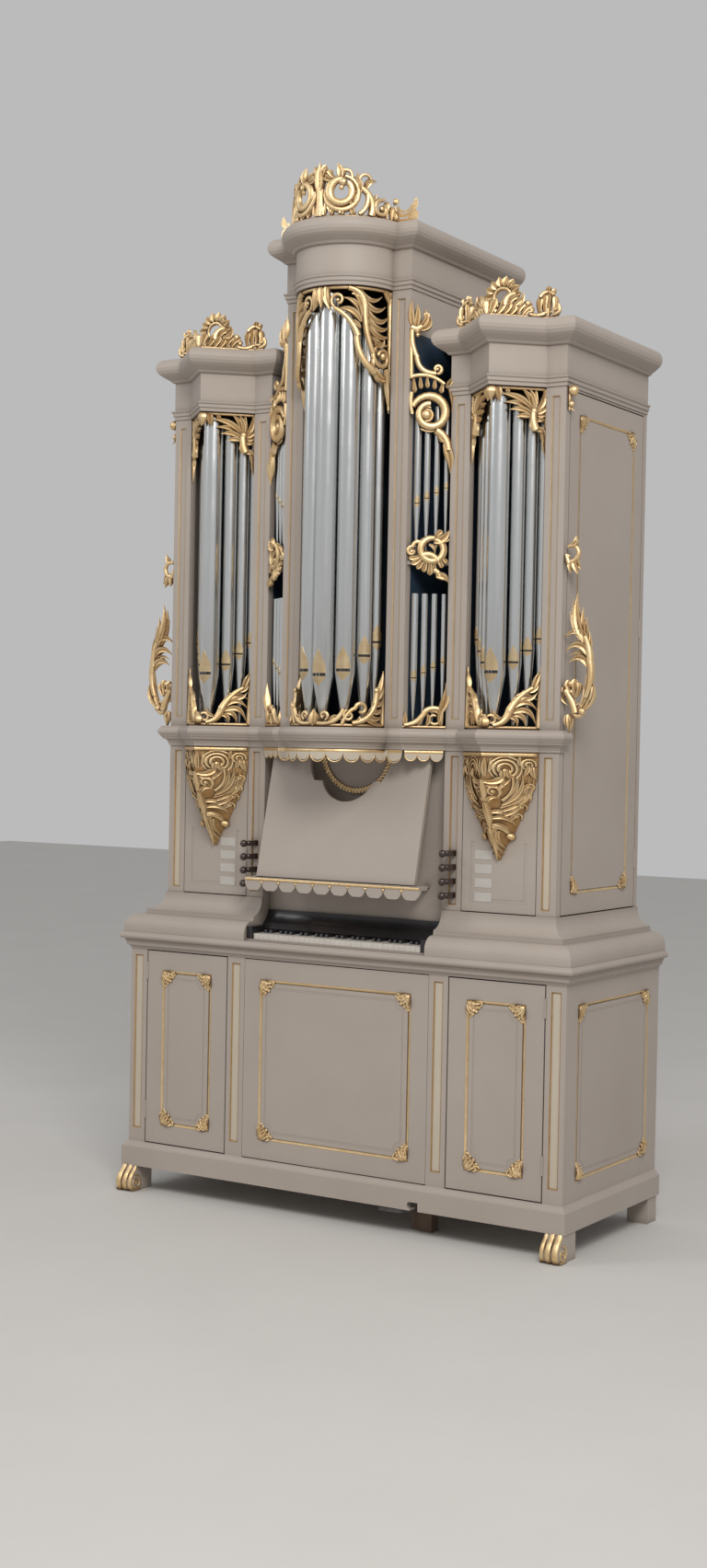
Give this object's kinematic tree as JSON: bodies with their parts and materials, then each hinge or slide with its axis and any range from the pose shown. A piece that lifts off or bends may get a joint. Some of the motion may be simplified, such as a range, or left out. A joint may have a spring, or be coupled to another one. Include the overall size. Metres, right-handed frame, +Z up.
{
  "type": "pipe organ, small free-standing church or chamber organ",
  "caption": "Small pipe organ: painted case with gilded carving, pointed side towers, round centre tower, keyboard, stop knobs and doors.",
  "frame": {"origin": "on the floor, under the middle of the case's bounding box", "axes": "+X to the right seen from the player's side, +Y to the back, +Z up"},
  "size_m": [2.016, 1.0389, 3.9303],
  "materials": {
    "case_paint": "satin paint",
    "gilding": "gilded",
    "pipe_metal": "satin",
    "dark_wood": "polished",
    "post_wood": "plain",
    "lever_iron": "worn",
    "ivory": "smooth",
    "navy_paint": "matt paint",
    "cream_paint": "satin paint"
  },
  "bodies": {
    "case": {"plinth": "case_paint", "front_feet": "gilding", "rear_feet": "case_paint", "pedal_blocks": "post_wood", "pedal_lever": "lever_iron", "base_pilasters": "case_paint", "base_rails": "case_paint", "base_sides": "case_paint", "base_back": "case_paint", "base_floor": "case_paint", "base_centre_panel": "case_paint", "base_cornice": "case_paint", "ogee_mouldings": "case_paint", "key_bed": "case_paint", "key_cheeks": "dark_wood", "naturals": "ivory", "sharps": "dark_wood", "fallboard": "dark_wood", "pedestal_pilasters": "case_paint", "pedestal_panels": "case_paint", "recess_back": "case_paint", "recess_cheeks": "case_paint", "corbels": "gilding", "stop_labels": "ivory", "music_desk": "case_paint", "desk_ledge": "case_paint", "pendant": "case_paint", "lambrequin": "cream_paint", "impost_cornice": "case_paint", "wind_chest": "case_paint", "side_frames": "case_paint", "side_door_left": "case_paint", "side_door_right": "case_paint", "upper_back": "case_paint", "dark_lining": "navy_paint", "upper_pilasters": "case_paint", "tower_cheeks": "case_paint", "flat_roofs": "navy_paint", "side_tower_pipes": "pipe_metal", "centre_tower_pipes": "pipe_metal", "flat_pipes": "pipe_metal", "tower_shades": "gilding", "flat_carvings": "gilding", "side_entablatures": "case_paint", "centre_entablature": "case_paint", "side_crests": "gilding", "centre_crest": "gilding", "side_wings": "gilding"},
    "base_door_left": {"base_door_left": "case_paint"},
    "base_door_right": {"base_door_right": "case_paint"},
    "stop_knob_1": {"stop_knob_1": "dark_wood"},
    "stop_knob_2": {"stop_knob_2": "dark_wood"},
    "stop_knob_3": {"stop_knob_3": "dark_wood"},
    "stop_knob_4": {"stop_knob_4": "dark_wood"},
    "stop_knob_5": {"stop_knob_5": "dark_wood"},
    "stop_knob_6": {"stop_knob_6": "dark_wood"},
    "stop_knob_7": {"stop_knob_7": "dark_wood"},
    "stop_knob_8": {"stop_knob_8": "dark_wood"}
  },
  "joints": [
    {"name": "base_door_right_hinge", "type": "hinge", "parent": "case", "child": "base_door_right", "pos_m": [0.8885, -0.2755, 0.201], "axis": [0, 0, 1], "range_deg": [0, 110]},
    {"name": "base_door_left_hinge", "type": "hinge", "parent": "case", "child": "base_door_left", "pos_m": [-0.8885, -0.2755, 0.201], "axis": [0, 0, -1], "range_deg": [0, 110]},
    {"name": "stop_knob_1_slide", "type": "slide", "parent": "case", "child": "stop_knob_1", "axis": [0, -1, 0], "range_m": [0, 0.035]},
    {"name": "stop_knob_2_slide", "type": "slide", "parent": "case", "child": "stop_knob_2", "axis": [0, -1, 0], "range_m": [0, 0.035]},
    {"name": "stop_knob_3_slide", "type": "slide", "parent": "case", "child": "stop_knob_3", "axis": [0, -1, 0], "range_m": [0, 0.035]},
    {"name": "stop_knob_4_slide", "type": "slide", "parent": "case", "child": "stop_knob_4", "axis": [0, -1, 0], "range_m": [0, 0.035]},
    {"name": "stop_knob_5_slide", "type": "slide", "parent": "case", "child": "stop_knob_5", "axis": [0, -1, 0], "range_m": [0, 0.035]},
    {"name": "stop_knob_6_slide", "type": "slide", "parent": "case", "child": "stop_knob_6", "axis": [0, -1, 0], "range_m": [0, 0.035]},
    {"name": "stop_knob_7_slide", "type": "slide", "parent": "case", "child": "stop_knob_7", "axis": [0, -1, 0], "range_m": [0, 0.035]},
    {"name": "stop_knob_8_slide", "type": "slide", "parent": "case", "child": "stop_knob_8", "axis": [0, -1, 0], "range_m": [0, 0.035]}
  ]
}
